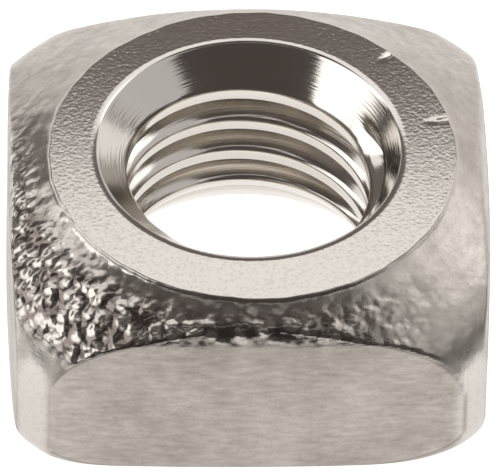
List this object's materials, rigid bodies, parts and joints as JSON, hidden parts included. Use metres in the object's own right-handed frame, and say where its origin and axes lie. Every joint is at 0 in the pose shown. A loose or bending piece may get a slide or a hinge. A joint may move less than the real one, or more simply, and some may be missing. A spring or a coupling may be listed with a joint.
{
  "type": "square nut",
  "caption": "Square metal nut with a flat ring and conical corner chamfer on top, rounded edges and a countersunk right-hand threaded hole.",
  "frame": {"origin": "centre of the bearing face, on the thread's axis", "axes": "+Z along the thread from the bearing face to the ring face; X and Y square to the flats"},
  "size_m": [0.017, 0.017, 0.0076],
  "materials": {
    "steel": "bare stainless steel: faced ring, grainy formed slopes, satin flats, bright thread"
  },
  "bodies": {
    "root": {"square_nut": "steel"}
  },
  "joints": []
}
